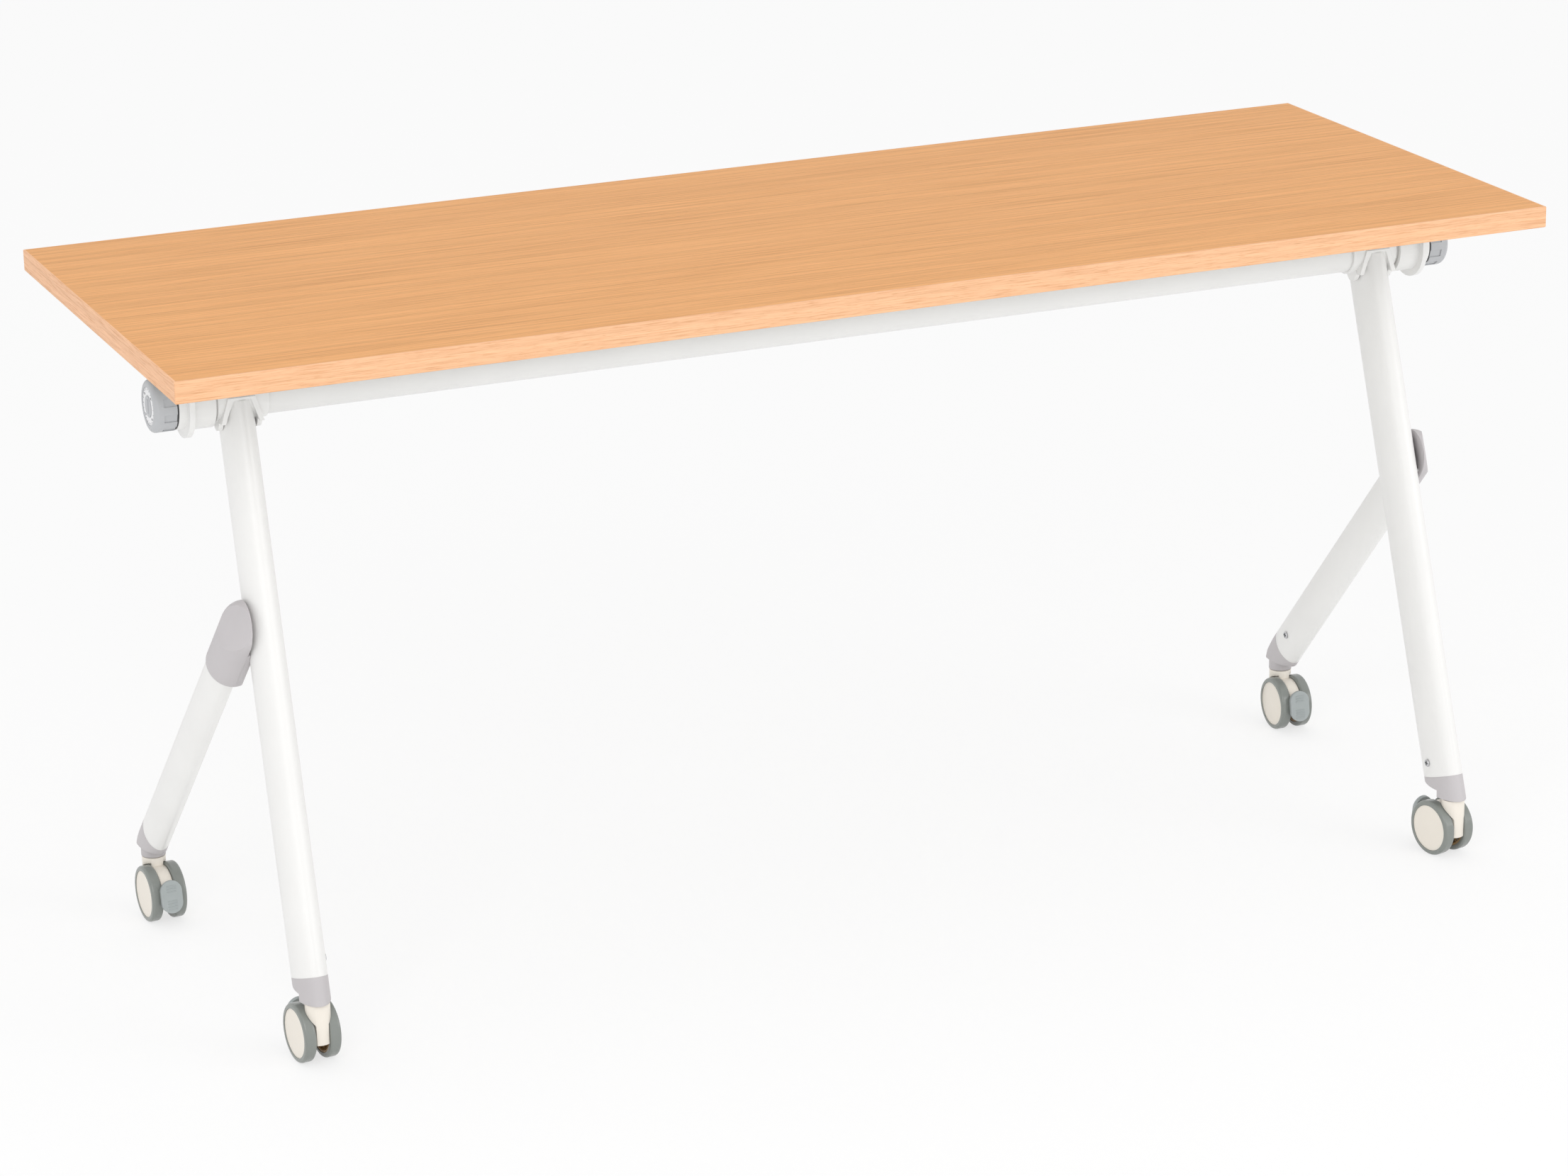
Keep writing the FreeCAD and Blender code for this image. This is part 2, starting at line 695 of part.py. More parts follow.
def caster_pins():
    """Swivel stem and wheel axle."""
    neck_top = caster_height - swivel_gap
    stem_end = z_axis * (caster_height + stem_insertion)
    stem = cylinder(stem_diameter / 2, z_axis * (neck_top - stem_seat), stem_end)
    reach = wheel_track / 2 + tyre_width / 2 - core_inset - core_plate_thickness - running_gap
    axle = cylinder(axle_diameter / 2, on_axle(-reach), on_axle(reach))
    return Part.makeCompound([stem, axle])


def tyre(side):
    """Tyre of one wheel, with rounded shoulders."""
    center = side * wheel_track / 2
    start = on_axle(center - tyre_width / 2)
    end = on_axle(center + tyre_width / 2)
    roll = cylinder(wheel_radius, start, end)
    rims = [edge for edge in roll.Edges if edge.Closed]
    roll = roll.makeFillet(tyre_edge_radius, rims)
    return roll.cut(cylinder(core_diameter / 2, start - x_axis * cut_overrun, end + x_axis * cut_overrun))


def wheel_core(side):
    """Wheel centre: outer face plate, rim, hub and ribs that show from the inner side."""
    center = side * wheel_track / 2
    inner = center - side * (tyre_width / 2 - core_inset)
    outer = center + side * (tyre_width / 2 - core_inset)
    plate_back = outer - side * core_plate_thickness
    core = tube(core_diameter / 2, core_diameter / 2 - core_rim_wall, on_axle(inner), on_axle(plate_back))
    plate = cylinder(core_diameter / 2, on_axle(plate_back), on_axle(outer))
    hub = cylinder(hub_diameter / 2, on_axle(inner), on_axle(plate_back))
    core = core.fuse([plate, hub])
    rib_reach = core_diameter / 2 - core_rim_wall / 2
    rib_front = plate_back - side * core_rib_height
    low_x = min(plate_back, rib_front)
    rib_low = on_axle(low_x) + Vector(0, -core_rib_thickness / 2, hub_diameter / 4)
    rib_size = Vector(core_rib_height, core_rib_thickness, rib_reach - hub_diameter / 4)
    ribs = []
    for index in range(core_ribs):
        rib = box(rib_low, rib_low + rib_size)
        rib.rotate(axle_center, x_axis, 360.0 * index / core_ribs)
        ribs.append(rib)
    core = core.fuse(ribs)
    bore = cylinder(axle_diameter / 2 + running_fit, on_axle(inner - side * cut_overrun), on_axle(plate_back))
    return core.cut(bore).removeSplitter()


def brake_pedal():
    """Foot pedal of a caster's brake: ridged plate, arm and trunnions."""
    face_y = caster_trail + wheel_radius + pedal_wheel_gap + pedal_thickness
    back_y = face_y - pedal_thickness
    end_offset = pedal_height / 2 - pedal_width / 2
    plate_low = Vector(-pedal_width / 2, back_y, wheel_radius - end_offset)
    plate = box(plate_low, Vector(pedal_width / 2, face_y, wheel_radius + end_offset))
    for side in (-1, 1):
        middle = Vector(0, back_y, wheel_radius + side * end_offset)
        plate = plate.fuse(cylinder(pedal_width / 2, middle, middle + y_axis * pedal_thickness))
    half_arm = pedal_arm_width / 2
    knuckle_radius = pedal_arm_height / 2
    arm_low = pedal_pivot - Vector(half_arm, 0, knuckle_radius)
    rise = math.radians(pedal_rise_angle)
    middle_radius = wheel_radius + pedal_wheel_gap + pedal_thickness / 2
    above_pivot = wheel_radius + middle_radius * math.sin(rise) - pedal_pivot.z
    arm_end = caster_trail + middle_radius * math.cos(rise) + above_pivot * math.tan(rise)
    arm = box(arm_low, Vector(half_arm, arm_end, pedal_pivot.z + knuckle_radius))
    knuckle = cylinder(knuckle_radius, pedal_pivot - x_axis * half_arm, pedal_pivot + x_axis * half_arm)
    trunnion = cylinder(trunnion_diameter / 2, pedal_pivot - x_axis * (housing_width / 2),
                        pedal_pivot + x_axis * (housing_width / 2))
    for side, count in ((1, 3), (-1, 4)):
        for index in range(count):
            step = (index - (count - 1) / 2) * pedal_ridge_pitch
            height = wheel_radius + side * pedal_ridge_group_offset + step
            ridge_low = height - pedal_ridge_thickness / 2
            low = Vector(-pedal_ridge_width / 2, face_y - pedal_thickness / 2, ridge_low)
            size = Vector(pedal_ridge_width, pedal_thickness / 2 + pedal_ridge_height, pedal_ridge_thickness)
            plate = plate.fuse(box(low, low + size))
    plate.rotate(axle_center, x_axis, pedal_rise_angle)
    return plate.fuse([arm, knuckle, trunnion]).removeSplitter()


def place_caster(shape, swivel, turn):
    """A caster piece turned about its swivel axis and set under its foot."""
    placed = shape.copy()
    placed.Placement = FreeCAD.Placement(swivel, FreeCAD.Rotation(z_axis, turn)).multiply(placed.Placement)
    return placed


def caster_nodes(corner, swivel, turn):
    """Named pieces of one caster in its place."""
    pieces = {
        "caster_housing_" + corner: caster_housing(),
        "caster_pins_" + corner: caster_pins(),
        "brake_pedal_" + corner: brake_pedal(),
    }
    for label, side in (("a", -1), ("b", 1)):
        pieces["wheel_tyre_" + corner + "_" + label] = tyre(side)
        pieces["wheel_core_" + corner + "_" + label] = wheel_core(side)
    return {name: place_caster(shape, swivel, turn) for name, shape in pieces.items()}


def paired(name, shape):
    """A piece on the +X end and its mirror on the other end."""
    return {name + "_right": shape, name + "_left": mirrored(shape)}


def all_nodes():
    """Every piece of the desk by name."""
    seal = knob_seal()
    bush = hinge_bush()
    inner_cover = hub_cover_inner()
    nodes = {
        "tabletop_board": tabletop_board(),
        "edge_bands_long": long_edge_bands(),
        "edge_bands_short": short_edge_bands(),
        "bracket_screws": bracket_screws(),
        "hinge_bushes": Part.makeCompound([bush, mirrored(bush)]),
        "knob_seals": Part.makeCompound([seal, mirrored(seal)]),
        "crossbeam": crossbeam(),
        "beam_plugs": beam_plugs(),
        "foot_screws": foot_screws(),
        "hub_covers_inner": Part.makeCompound([inner_cover, mirrored(inner_cover)]),
    }
    for name, maker in (
        ("hinge_bracket", hinge_bracket),
        ("knob_grip", knob_grip),
        ("knob_label", knob_label),
        ("knob_spindle", knob_spindle),
        ("clamp_disc", clamp_disc),
        ("leg_head", leg_head),
        ("main_leg", main_leg),
        ("rear_leg", rear_leg),
        ("hub_cover_outer", hub_cover_outer),
        ("front_foot", front_foot),
        ("rear_foot", rear_foot),
    ):
        nodes.update(paired(name, maker()))
    front_left = Vector(-front_swivel.x, front_swivel.y, 0)
    rear_left = Vector(-rear_swivel.x, rear_swivel.y, 0)
    nodes.update(caster_nodes("front_left", front_left, front_left_turn))
    nodes.update(caster_nodes("front_right", front_swivel, front_right_turn))
    nodes.update(caster_nodes("rear_left", rear_left, rear_left_turn))
    nodes.update(caster_nodes("rear_right", rear_swivel, rear_right_turn))
    return nodes


os.makedirs("parts", exist_ok=True)
for node_name, node_shape in all_nodes().items():
    node_shape.exportStep(os.path.join("parts", node_name + ".step"))
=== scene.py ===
"""Looks of a flip-top folding desk on casters: its finishes, small details, light and camera. Metres."""

import math

import bmesh
import bpy
from mathutils import Matrix, Vector


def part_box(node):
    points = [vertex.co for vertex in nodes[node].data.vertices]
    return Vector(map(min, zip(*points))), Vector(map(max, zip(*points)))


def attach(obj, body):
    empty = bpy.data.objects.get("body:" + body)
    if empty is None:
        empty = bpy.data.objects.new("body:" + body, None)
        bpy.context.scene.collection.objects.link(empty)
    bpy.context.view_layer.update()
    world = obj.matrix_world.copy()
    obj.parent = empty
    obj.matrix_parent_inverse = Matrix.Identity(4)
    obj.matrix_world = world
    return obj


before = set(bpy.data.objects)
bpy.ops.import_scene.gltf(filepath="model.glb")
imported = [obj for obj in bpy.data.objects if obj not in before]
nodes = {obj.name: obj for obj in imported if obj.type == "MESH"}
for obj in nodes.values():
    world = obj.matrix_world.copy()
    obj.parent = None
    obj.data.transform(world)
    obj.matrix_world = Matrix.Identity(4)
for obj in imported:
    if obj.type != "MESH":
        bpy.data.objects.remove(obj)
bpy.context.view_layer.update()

# Camera: its place from the floor under the middle of the top, and its angles in radians
sensor_width_mm = 36
lens_mm = 109.199
camera_from_under_top = Vector((-2.019524, -4.771743, 2.060783))
camera_yaw = 0.397763
camera_pitch = 0.321503
camera_roll = -0.018685

# Floor and light
floor_span = 120
floor_level = 0.97
floor_white_share = 0.7
world_level = 0.86
key_place = Vector((-2.2, -2.9, 2.4))
key_aim = Vector((-0.3, 0, 0.5))
key_span = 2.0
key_watts = 31
fill_place = Vector((2.5, -3.0, 1.7))
fill_aim = Vector((0.3, 0, 0.4))
fill_span = 2.0
fill_watts = 25

# Soft edges: their radius, and the turns between faces that count as flat and as an edge
sharp = 0
metal_edge = 0.0007
plastic_edge = 0.0006
edge_steps = 2
weld_reach = 0.00002
flat_turn = math.radians(0.5)
edge_turn = math.radians(32)

# Clouds of grain: where most of their values lie, and how much each finer level counts
cloud_shares = (0.3, 0.7)
cloud_fine_share = 0.55

# Wood grain: length along the grain and width across it
fibre_length = 0.2
fibre_width = 0.0018
edge_fibre_length = 0.045
edge_fibre_width = 0.0013
fleck_length = 0.014
fleck_width = 0.0006
streak_length = 0.9
streak_width = 0.006
wood_relief = 0.00006

# Wood clouds: their detail, where each colour lies in them, and the tints that darken the fibres
fibre_detail = 5
fibre_fine_share = 0.62
fibre_bend_share = 0.15
fibre_shares = (0.32, 0.5, 0.68)
fibre_middle_share = 0.93
fleck_detail = 2
fleck_fine_share = 0.5
fleck_shares = (0.3, 0.42)
fleck_tint = (0.86, 0.8, 0.74)
streak_detail = 3
streak_fine_share = 0.5
streak_shares = (0.34, 0.64)
streak_tint = (0.9, 0.885, 0.86)
wood_roughness = (0.5, 0.4)
wood_specular_share = 0.22

# Other surface grain, and patches of uneven tone
coat_grain = 0.0011
coat_relief = 0.00005
moulded_grain = 0.0005
moulded_relief = 0.00004
rubber_grain = 0.0008
rubber_relief = 0.00001
grain_detail = 2
tone_patch = 0.06
tone_detail = 3
turning_length = 0.02
turning_width = 0.0003
turning_relief = 0.00002
turning_detail = 3

# Marks on the knob faces, as shares of the label's radius
mark_depth = 0.00025
mark_radius_share = 0.8
mark_width_share = 0.13
tick_radius_share = 0.93
tick_length_share = 0.07
tick_width_share = 0.018

# Marks round a knob, and where the first one stands as a share of the step between them
mark_count = 4
mark_first_share = 0.5
tick_count = 20
tick_first_share = 0

# Dark crosses of painted shade for the screws' cross recesses, as shares of the head's radius
recess_depth = 0.00012
recess_share = 0.62
recess_arm_share = 0.18

# Decimals to which the faces of a screw count as looking the same way
same_way_decimals = 2

# Sockets of the mix node when it mixes colours
mix_share_in = 0
mix_first_in = 6
mix_second_in = 7
mix_color_out = 2


def grey(level):
    """A neutral colour."""
    return (level, level, level)


def dimmed(color, share):
    """The colour with each part multiplied by a share."""
    return tuple(part * share for part in color)


def even_grain(size):
    """Grain of one size along X, Y and Z."""
    return (size, size, size)


def long_grain(along, length, width):
    """Grain that is long along one of X, Y and Z and narrow along the others."""
    return tuple(length if axis == along else width for axis in "XYZ")


def new_material(name):
    """A new node material with its node tree and surface shader."""
    made = bpy.data.materials.new(name)
    made.use_nodes = True
    return made, made.node_tree, made.node_tree.nodes["Principled BSDF"]


def noise(tree, sizes, detail, fine_share=cloud_fine_share, bend_share=0):
    """A cloud of grains whose size is given along X, Y and Z of the part."""
    place = tree.nodes.new("ShaderNodeTexCoord")
    stretch = tree.nodes.new("ShaderNodeMapping")
    stretch.inputs["Scale"].default_value = [1 / size for size in sizes]
    cloud = tree.nodes.new("ShaderNodeTexNoise")
    cloud.inputs["Scale"].default_value = 1
    cloud.inputs["Detail"].default_value = detail
    cloud.inputs["Roughness"].default_value = fine_share
    cloud.inputs["Distortion"].default_value = bend_share
    tree.links.new(place.outputs["Object"], stretch.inputs["Vector"])
    tree.links.new(stretch.outputs["Vector"], cloud.inputs["Vector"])
    return cloud.outputs[0]


def ramp(tree, factor, shares, colors):
    """Colours chosen by a factor, each at its share of the way from zero to one."""
    made = tree.nodes.new("ShaderNodeValToRGB")
    elements = made.color_ramp.elements
    while len(elements) < len(colors):
        elements.new(1)
    for element, share, color in zip(elements, shares, colors):
        element.position = share
        element.color = (*color, 1)
    tree.links.new(factor, made.inputs["Fac"])
    return made.outputs["Color"]


def multiply(tree, first, second):
    """Two colours multiplied."""
    made = tree.nodes.new("ShaderNodeMix")
    made.data_type = "RGBA"
    made.blend_type = "MULTIPLY"
    made.inputs[mix_share_in].default_value = 1
    tree.links.new(first, made.inputs[mix_first_in])
    tree.links.new(second, made.inputs[mix_second_in])
    return made.outputs[mix_color_out]


def relief(tree, shader, height, depth):
    """Fine relief on the surface."""
    made = tree.nodes.new("ShaderNodeBump")
    made.inputs["Distance"].default_value = depth
    made.inputs["Strength"].default_value = 1
    tree.links.new(height, made.inputs["Height"])
    tree.links.new(made.outputs["Normal"], shader.inputs["Normal"])


def gloss(tree, shader, cloud, roughness):
    """Roughness that runs from its first level to its second as the cloud's values grow."""
    spread = tree.nodes.new("ShaderNodeMapRange")
    sockets = ("From Min", "From Max", "To Min", "To Max")
    for socket, value in zip(sockets, (*cloud_shares, *roughness)):
        spread.inputs[socket].default_value = value
    tree.links.new(cloud, spread.inputs["Value"])
    tree.links.new(spread.outputs["Result"], shader.inputs["Roughness"])


def wood(name, along, light, dark, length, width):
    """Straight-grained beech print: fibres, short darker flecks and broad streaks, along X or Y."""
    made, tree, shader = new_material(name)
    fibre_grain = long_grain(along, length, width)
    fleck_grain = long_grain(along, fleck_length, fleck_width)
    streak_grain = long_grain(along, streak_length, streak_width)
    fibres = noise(tree, fibre_grain, fibre_detail, fibre_fine_share, fibre_bend_share)
    flecks = noise(tree, fleck_grain, fleck_detail, fleck_fine_share)
    streaks = noise(tree, streak_grain, streak_detail, streak_fine_share)
    color = ramp(tree, fibres, fibre_shares, (dark, dimmed(light, fibre_middle_share), light))
    color = multiply(tree, color, ramp(tree, flecks, fleck_shares, (fleck_tint, grey(1))))
    color = multiply(tree, color, ramp(tree, streaks, streak_shares, (streak_tint, grey(1))))
    tree.links.new(color, shader.inputs["Base Color"])
    shader.inputs["Specular IOR Level"].default_value = wood_specular_share
    gloss(tree, shader, fibres, wood_roughness)
    relief(tree, shader, fibres, wood_relief)
    return made


def laminate():
    """The printed sheet on the top."""
    light = (0.92, 0.44, 0.14)
    dark = (0.64, 0.28, 0.078)
    return wood("laminate", "X", light, dark, fibre_length, fibre_width)


def edge_band(along):
    """The paler band round the top, with shorter fibres."""
    light = (0.99, 0.58, 0.34)
    dark = (0.77, 0.395, 0.2)
    return wood("edge_band_" + along, along, light, dark, edge_fibre_length, edge_fibre_width)


def grained(name, color, uneven_share, roughness, size, depth):
    """One colour that is darker in patches by up to a share, with a fine grain."""
    made, tree, shader = new_material(name)
    tone = noise(tree, even_grain(tone_patch), tone_detail)
    grain = noise(tree, even_grain(size), grain_detail)
    color = ramp(tree, tone, cloud_shares, (dimmed(color, 1 - uneven_share), color))
    tree.links.new(color, shader.inputs["Base Color"])
    gloss(tree, shader, grain, roughness)
    relief(tree, shader, grain, depth)
    return made


def coated(name, color, uneven_share, roughness):
    """The open grain of a sprayed coat or a laminate sheet."""
    return grained(name, color, uneven_share, roughness, coat_grain, coat_relief)


def moulded(name, color, uneven_share, roughness):
    """The close grain of moulded plastic."""
    return grained(name, color, uneven_share, roughness, moulded_grain, moulded_relief)


def powder_coat():
    """The white coat on the frame and the hinge brackets."""
    color = (0.87, 0.865, 0.85)
    return coated("powder_coat", color, uneven_share=0.025, roughness=(0.34, 0.44))


def backing_sheet():
    """The pale grey sheet under the top."""
    color = (0.56, 0.545, 0.51)
    return coated("backing_sheet", color, uneven_share=0.04, roughness=(0.5, 0.6))


def cover_plastic():
    """Grey plastic of the hub covers and feet."""
    color = (0.56, 0.535, 0.545)
    return moulded("cover_plastic", color, uneven_share=0.05, roughness=(0.44, 0.56))


def knob_plastic():
    """Grey plastic of the knobs' grips."""
    color = (0.5, 0.51, 0.525)
    return moulded("knob_plastic", color, uneven_share=0.05, roughness=(0.38, 0.48))


def label_plastic():
    """White plastic of the rings on the knobs."""
    color = (0.85, 0.85, 0.86)
    return moulded("label_plastic", color, uneven_share=0.03, roughness=(0.34, 0.42))


def pedal_plastic():
    """Dark grey plastic of the brake pedals."""
    color = (0.38, 0.415, 0.415)
    return moulded("pedal_plastic", color, uneven_share=0.06, roughness=(0.36, 0.46))


def caster_plastic():
    """Cream plastic of the casters' housings and wheel cores."""
    color = (0.87, 0.815, 0.73)
    return moulded("caster_plastic", color, uneven_share=0.03, roughness=(0.34, 0.44))


def core_plastic():
    """Brown plastic of the wheel cores' inner sides."""
    color = (0.46, 0.28, 0.11)
    return moulded("core_plastic", color, uneven_share=0.12, roughness=(0.4, 0.52))


def seal_rubber():
    """Black rubber of the rings behind the knobs."""
    color = (0.05, 0.05, 0.052)
    return moulded("seal", color, uneven_share=0.15, roughness=(0.5, 0.62))


def nylon():
    """White nylon of the hinge bushes and beam plugs."""
    color = (0.8, 0.79, 0.76)
    return moulded("nylon", color, uneven_share=0.04, roughness=(0.36, 0.46))


def print_ink():
    """Dark ink of the marks on the knobs."""
    color = (0.16, 0.165, 0.18)
    return moulded("print_ink", color, uneven_share=0.1, roughness=(0.42, 0.5))


def recess_shade():
    """Painted shade: a dark colour standing for the shade inside the screws' cross recesses."""
    color = (0.08, 0.085, 0.09)
    return moulded("recess_shade", color, uneven_share=0.1, roughness=(0.4, 0.5))


def tyre_rubber():
    """Grey rubber of the tyres, with a slight shine."""
    color = (0.245, 0.262, 0.245)
    roughness = (0.14, 0.2)
    uneven_share = 0.03
    return grained("tyre_rubber", color, uneven_share, roughness, rubber_grain, rubber_relief)


def steel():
    """Zinc-plated steel with fine turning marks."""
    dark = (0.5, 0.5, 0.51)
    light = (0.66, 0.66, 0.67)
    roughness = (0.24, 0.38)
    made, tree, shader = new_material("steel")
    lines = noise(tree, long_grain("X", turning_length, turning_width), turning_detail)
    color = ramp(tree, lines, cloud_shares, (dark, light))
    tree.links.new(color, shader.inputs["Base Color"])
    shader.inputs["Metallic"].default_value = 1
    gloss(tree, shader, lines, roughness)
    relief(tree, shader, lines, turning_relief)
    return made


def centre(node):
    """The middle of a CAD node's box."""
    low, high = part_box(node)
    return (low + high) / 2


def soften(piece, edge):
    """Joins the facets of flat faces and rounds the edges between faces."""
    weld = piece.modifiers.new("weld", "WELD")
    weld.merge_threshold = weld_reach
    flat = piece.modifiers.new("flat", "DECIMATE")
    flat.decimate_type = "DISSOLVE"
    flat.angle_limit = flat_turn
    flat.delimit = {"MATERIAL"}
    bevel = piece.modifiers.new("edges", "BEVEL")
    bevel.width = edge
    bevel.segments = edge_steps
    bevel.limit_method = "ANGLE"
    bevel.angle_limit = edge_turn
    bevel.harden_normals = True


def finish_node(name, edge, *materials):
    """Gives a CAD node its materials and, unless it stays sharp, softens its edges by a radius."""
    piece = nodes[name]
    piece.data.materials.clear()
    for made in materials:
        piece.data.materials.append(made)
    if edge:
        soften(piece, edge)


def finish_nodes(finishes):
    """Finishes every CAD node by the first entry of the table that its name starts with."""
    for name in nodes:
        start = next(start for start in finishes if name.startswith(start))
        finish_node(name, *finishes[start])


def brown_inner_face(core, other):
    """Turns the side of a wheel core that faces its twin to the second material."""
    middle = centre(core)
    inward = (centre(other) - middle).normalized()
    for face in nodes[core].data.polygons:
        face.material_index = int((face.center - middle).dot(inward) > 0)


def back_underside(board):
    """Turns the faces that look down to the second material."""
    for face in nodes[board].data.polygons:
        face.material_index = int(face.normal.z < -face.normal.xy.length)


def add_object(name, data):
    """A new object in the scene."""
    made = bpy.data.objects.new(name, data)
    bpy.context.scene.collection.objects.link(made)
    return made


def mesh_piece(name, shape, made, body):
    """A new piece from a built shape, riding on a body."""
    mesh = bpy.data.meshes.new(name)
    shape.to_mesh(mesh)
    shape.free()
    mesh.materials.append(made)
    piece = add_object(name, mesh)
    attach(piece, body)


def facing(origin, outward, upward):
    """A place whose local Z looks outward and whose local Y looks upward."""
    side = upward.cross(outward).normalized()
    rows = (side, outward.cross(side).normalized(), outward.normalized())
    turn = Matrix(rows).transposed().to_4x4()
    return Matrix.Translation(origin) @ turn


def turned(place, angle):
    """A place turned about its own Z."""
    return place @ Matrix.Rotation(angle, 4, "Z")


def bar(half_width, low, high):
    """The outline of a straight bar along Y."""
    return [(-half_width, low), (half_width, low), (half_width, high), (-half_width, high)]


def prism(shape, outline, place, depth):
    """A flat outline raised by a depth along the local Z of a place matrix."""
    low = [shape.verts.new(place @ Vector((x, y, 0))) for x, y in outline]
    high = [shape.verts.new(place @ Vector((x, y, depth))) for x, y in outline]
    shape.faces.new(list(reversed(low)))
    shape.faces.new(high)
    count = len(outline)
    for index in range(count):
        after = (index + 1) % count
        shape.faces.new((low[index], low[after], high[after], high[index]))


def ring_of_marks(shape, outline, base, count, first_share):
    """Raises an outline at equal steps round a face, the first one turned by a share of a step."""
    for index in range(count):
        angle = math.tau * (index + first_share) / count
        prism(shape, outline, turned(base, angle), mark_depth)


def knob_marks(side, sign, ink):
    """Plain pointers and ticks printed round the face of a knob."""
    label = "knob_label_" + side
    low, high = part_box(label)
    middle = centre(label)
    middle.x = high.x if sign > 0 else low.x
    radius = (high.z - low.z) / 2
    base = facing(middle, Vector((sign, 0, 0)), Vector((0, 0, 1)))
    shape = bmesh.new()
    half = mark_width_share * radius / 2
    out = mark_radius_share * radius
    arrow = [(-half, out - half), (half, out - half), (0, out + half)]
    ring_of_marks(shape, arrow, base, mark_count, mark_first_share)
    out = tick_radius_share * radius
    tick = bar(tick_width_share * radius / 2, out - tick_length_share * radius, out)
    ring_of_marks(shape, tick, base, tick_count, tick_first_share)
    mesh_piece("knob_marks_" + side, shape, ink, "knob_" + side)


def islands(shape):
    """The points of each separate solid of a shape."""
    seen = set()
    for start in shape.verts:
        if start in seen:
            continue
        seen.add(start)
        group = [start]
        front = [start]
        while front:
            point = front.pop()
            near = [link.other_vert(point) for link in point.link_edges]
            fresh = [other for other in near if other not in seen]
            seen.update(fresh)
            group.extend(fresh)
            front.extend(fresh)
        yield group


def screw_axis(points):
    """The way that the largest flat faces of a screw look, which is along it."""
    areas = {}
    for face in dict.fromkeys(face for point in points for face in point.link_faces):
        way = tuple(round(part, same_way_decimals) for part in face.normal)
        areas[way] = areas.get(way, 0) + face.calc_area()
    return Vector(max(areas, key=areas.get)).normalized()


def head_face(points):
    """The middle of a screw's head face, the way it looks, and its radius."""
    along = screw_axis(points)
    places = [point.co for point in points]
    middle = sum(places, Vector()) / len(places)
    reaches = [(place - middle).dot(along) for place in places]
    radii = [(place - middle - along * reach).length for place, reach in zip(places, reaches)]
    widest = reaches[radii.index(max(radii))]
    if max(reaches) - widest < widest - min(reaches):
        return middle + along * max(reaches), along, max(radii)
    return middle + along * min(reaches), -along, max(radii)


def painted_shade_crosses(node, body, shade):
    """A dark cross of painted shade on the head of every screw of a node, standing for its cross recess.
    """
    screws = bmesh.new()
    screws.from_mesh(nodes[node].data)
    bmesh.ops.remove_doubles(screws, verts=screws.verts, dist=weld_reach)
    shape = bmesh.new()
    for points in islands(screws):
        face, outward, radius = head_face(points)
        base = facing(face, outward, Vector((0, 1, 0)))
        reach = recess_share * radius
        arm = bar(recess_arm_share * radius, -reach, reach)
        for angle in (0, math.pi / 2):
            prism(shape, arm, turned(base, angle), recess_depth)
    screws.free()
    # The piece is painted shade: one dark cross for each screw's recess
    mesh_piece(node + "_recess_shade", shape, shade, body)


def seen_rays(tree):
    """One for rays that the eye or a reflection follows, and zero for those that light the object."""
    path = tree.nodes.new("ShaderNodeLightPath")
    seen = path.outputs["Is Camera Ray"]
    for name in ("Is Glossy Ray", "Is Transmission Ray"):
        either = tree.nodes.new("ShaderNodeMath")
        either.operation = "MAXIMUM"
        tree.links.new(seen, either.inputs[0])
        tree.links.new(path.outputs[name], either.inputs[1])
        seen = either.outputs[0]
    return seen


def whiten(tree, shader, share):
    """Shows a surface as nearer to white, by a share, without lighting anything."""
    part = tree.nodes.new("ShaderNodeMath")
    part.operation = "MULTIPLY"
    part.inputs[1].default_value = share
    tree.links.new(seen_rays(tree), part.inputs[0])
    white = tree.nodes.new("ShaderNodeEmission")
    mixed = tree.nodes.new("ShaderNodeMixShader")
    tree.links.new(part.outputs[0], mixed.inputs["Fac"])
    tree.links.new(shader.outputs["BSDF"], mixed.inputs[1])
    tree.links.new(white.outputs["Emission"], mixed.inputs[2])
    tree.links.new(mixed.outputs["Shader"], tree.nodes["Material Output"].inputs["Surface"])


def place_floor():
    """A plain pale floor that takes the shadow."""
    made, tree, shader = new_material("floor")
    shader.inputs["Base Color"].default_value = (*grey(floor_level), 1)
    shader.inputs["Roughness"].default_value = 1
    shader.inputs["Specular IOR Level"].default_value = 0
    whiten(tree, shader, floor_white_share)
    mesh = bpy.data.meshes.new("floor")
    half = floor_span / 2
    corners = [(x, y, 0) for x, y in bar(half, -half, half)]
    mesh.from_pydata(corners, [], [range(len(corners))])
    mesh.materials.append(made)
    floor = add_object("floor", mesh)


def place_world():
    """White all round for the eye and for reflections, and a plain level of light on the object."""
    world = bpy.data.worlds.new("studio")
    world.use_nodes = True
    tree = world.node_tree
    back = tree.nodes["Background"]
    back.inputs["Color"].default_value = (*grey(1), 1)
    level = tree.nodes.new("ShaderNodeMapRange")
    level.inputs["To Min"].default_value = world_level
    level.inputs["To Max"].default_value = 1
    tree.links.new(seen_rays(tree), level.inputs["Value"])
    tree.links.new(level.outputs["Result"], back.inputs["Strength"])
    bpy.context.scene.world = world


def place_lamp(name, place, aim, span, watts):
    """A square soft box that looks at a point."""
    light = bpy.data.lights.new(name, "AREA")
    light.shape = "SQUARE"
    light.size = span
    light.energy = watts
    lamp = add_object(name, light)
    lamp.location = place
    lamp.rotation_euler = (aim - place).to_track_quat("-Z", "Y").to_euler()


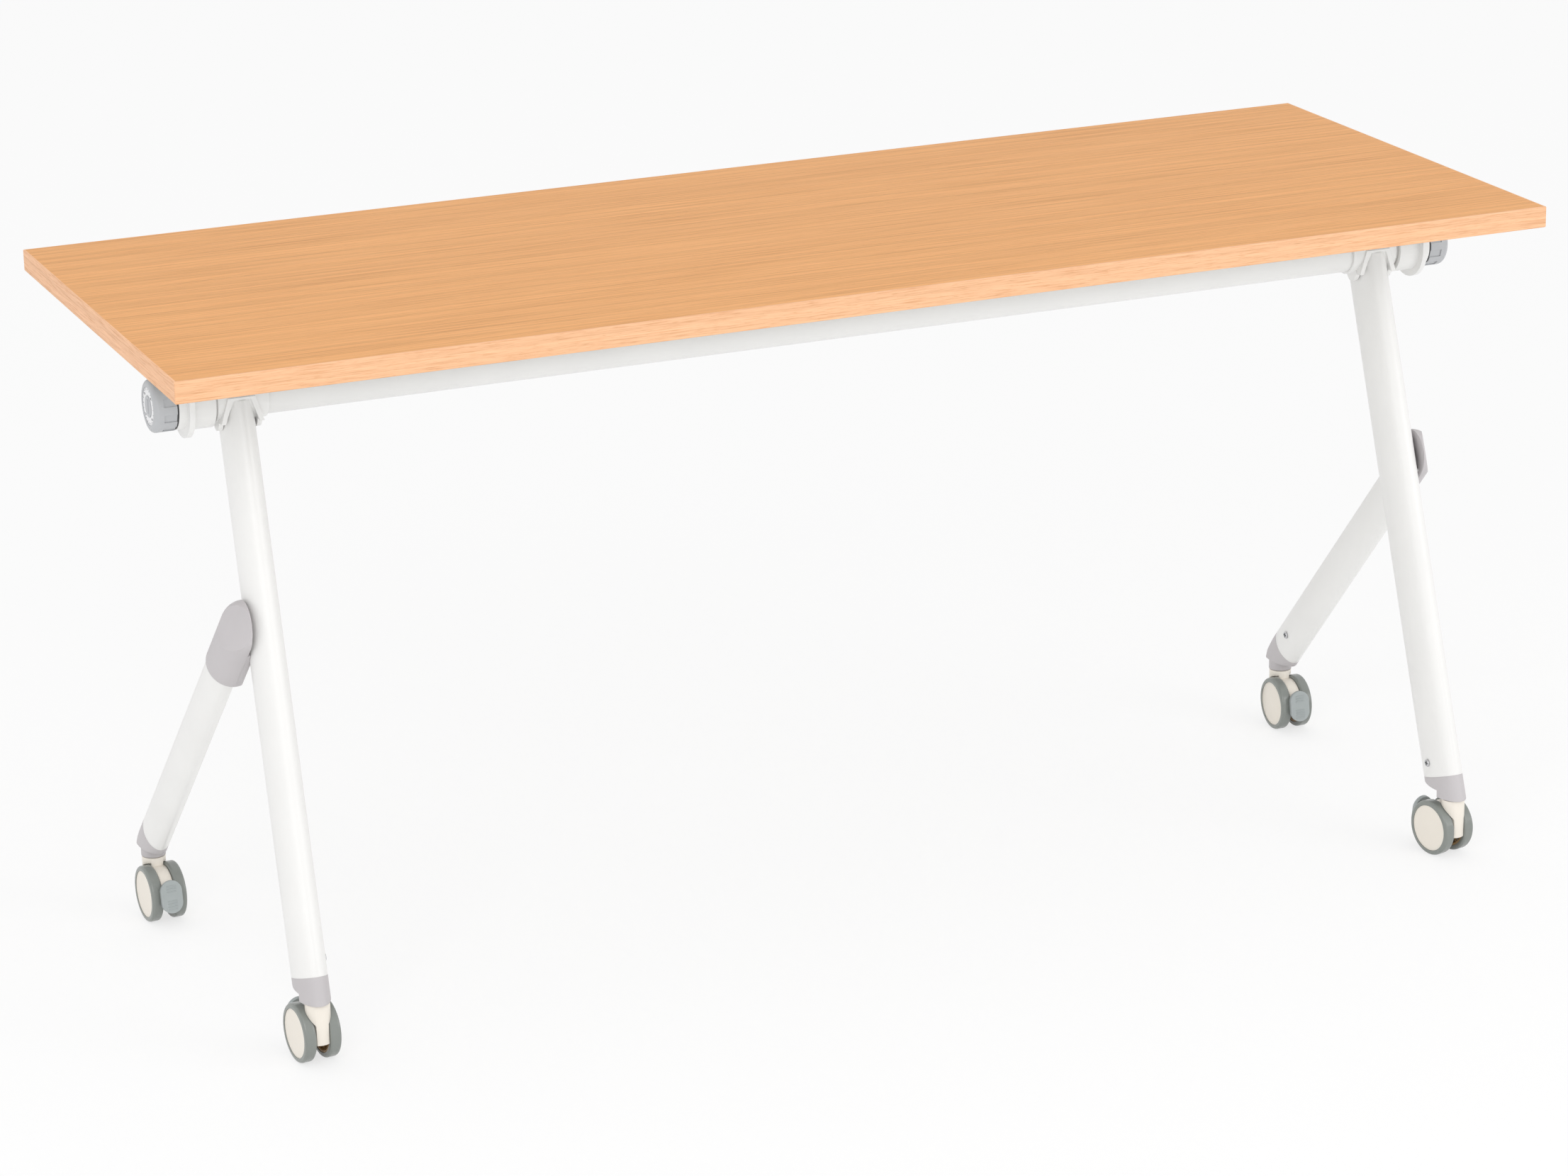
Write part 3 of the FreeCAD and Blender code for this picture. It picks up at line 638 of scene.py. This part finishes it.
def place_camera():
    """The camera at the photograph's viewing angle."""
    data = bpy.data.cameras.new("camera")
    data.sensor_fit = "HORIZONTAL"
    data.sensor_width = sensor_width_mm
    data.lens = lens_mm
    ahead = Vector((
        math.sin(camera_yaw) * math.cos(camera_pitch),
        math.cos(camera_yaw) * math.cos(camera_pitch),
        -math.sin(camera_pitch),
    ))
    level_side = Vector((math.cos(camera_yaw), -math.sin(camera_yaw), 0))
    level_up = level_side.cross(ahead)
    side = math.cos(camera_roll) * level_side + math.sin(camera_roll) * level_up
    up = math.cos(camera_roll) * level_up - math.sin(camera_roll) * level_side
    turn = Matrix((side, up, -ahead)).transposed().to_4x4()
    under_top = centre("edge_bands_long")
    under_top.z = 0
    camera = add_object("camera", data)
    camera.matrix_world = Matrix.Translation(camera_from_under_top + under_top) @ turn
    bpy.context.scene.camera = camera


# Finishes: a soft edge's radius, then the materials
board_finish = (sharp, laminate(), backing_sheet())
long_band_finish = (sharp, edge_band("X"))
short_band_finish = (sharp, edge_band("Y"))
coat_finish = (metal_edge, powder_coat())
cover_finish = (plastic_edge, cover_plastic())
knob_finish = (sharp, knob_plastic())
label_finish = (plastic_edge, label_plastic())
pedal_finish = (plastic_edge, pedal_plastic())
caster_material = caster_plastic()
caster_finish = (plastic_edge, caster_material)
core_finish = (plastic_edge, caster_material, core_plastic())
tyre_finish = (sharp, tyre_rubber())
seal_finish = (plastic_edge, seal_rubber())
nylon_finish = (plastic_edge, nylon())
steel_finish = (plastic_edge, steel())
print_material = print_ink()
recess_shade_material = recess_shade()

finish_nodes({
    "tabletop_board": board_finish,
    "edge_bands_long": long_band_finish,
    "edge_bands_short": short_band_finish,
    "hinge_bracket": coat_finish,
    "crossbeam": coat_finish,
    "leg_head": coat_finish,
    "main_leg": coat_finish,
    "rear_leg": coat_finish,
    "hub_cover": cover_finish,
    "front_foot": cover_finish,
    "rear_foot": cover_finish,
    "knob_grip": knob_finish,
    "knob_label": label_finish,
    "brake_pedal": pedal_finish,
    "caster_housing": caster_finish,
    "wheel_core": core_finish,
    "wheel_tyre": tyre_finish,
    "knob_seals": seal_finish,
    "hinge_bushes": nylon_finish,
    "beam_plugs": nylon_finish,
    "bracket_screws": steel_finish,
    "foot_screws": steel_finish,
    "knob_spindle": steel_finish,
    "clamp_disc": steel_finish,
    "caster_pins": steel_finish,
})

# Second materials on the CAD nodes' own faces
for corner in ("front_left", "front_right", "rear_left", "rear_right"):
    first = "wheel_core_" + corner + "_a"
    second = "wheel_core_" + corner + "_b"
    brown_inner_face(first, second)
    brown_inner_face(second, first)
back_underside("tabletop_board")

# New pieces
for side, sign in (("left", -1), ("right", 1)):
    knob_marks(side, sign, print_material)
# Painted shade: dark crosses on the screw heads for their recesses
painted_shade_crosses("foot_screws", "frame", recess_shade_material)
painted_shade_crosses("bracket_screws", "tabletop", recess_shade_material)

# Floor, light and camera
place_floor()
place_world()
place_lamp("key", key_place, key_aim, key_span, key_watts)
place_lamp("fill", fill_place, fill_aim, fill_span, fill_watts)
place_camera()
bpy.context.scene.view_settings.view_transform = "Standard"
